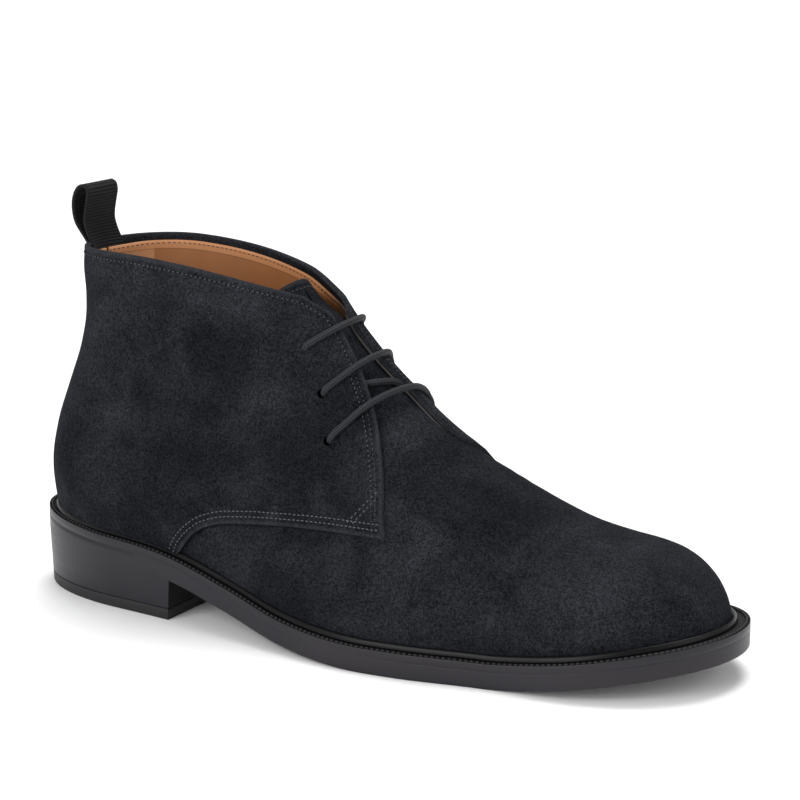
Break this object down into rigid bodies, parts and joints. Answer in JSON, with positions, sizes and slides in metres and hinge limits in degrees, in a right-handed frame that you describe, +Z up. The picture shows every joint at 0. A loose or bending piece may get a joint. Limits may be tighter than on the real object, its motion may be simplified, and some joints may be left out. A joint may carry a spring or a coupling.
{
  "type": "chukka boot",
  "caption": "Ankle-high lace-up suede boot with folded quarters over a plain vamp, punched eyelets, round laces, heel pull loop, stitched welt and low stacked heel.",
  "frame": {"origin": "middle of the bounding box's base, on the floor under the boot", "axes": "+X from heel to toe, +Y to the inner side of the foot, +Z up"},
  "size_m": [0.305, 0.103, 0.1652],
  "materials": {
    "outsole": "semi-gloss dark grey edge, fine ribs",
    "heel": "semi-gloss dark grey stacked heel",
    "top_lift": "satin near-black",
    "welt": "semi-gloss dark grey, stitched",
    "insole": "smooth tan",
    "suede": "matte blue-black suede, tan lining",
    "webbing": "ribbed near-black webbing",
    "lace": "round waxed cord"
  },
  "bodies": {
    "root": {"outsole": "outsole", "heel": "heel", "top_lift": "top_lift", "welt": "welt", "insole": "insole", "upper": "suede", "quarter_outer": "suede", "quarter_inner": "suede", "tongue": "suede", "pull_loop": "webbing", "lace_top": "lace", "lace_middle": "lace", "lace_bottom": "lace"}
  },
  "joints": []
}
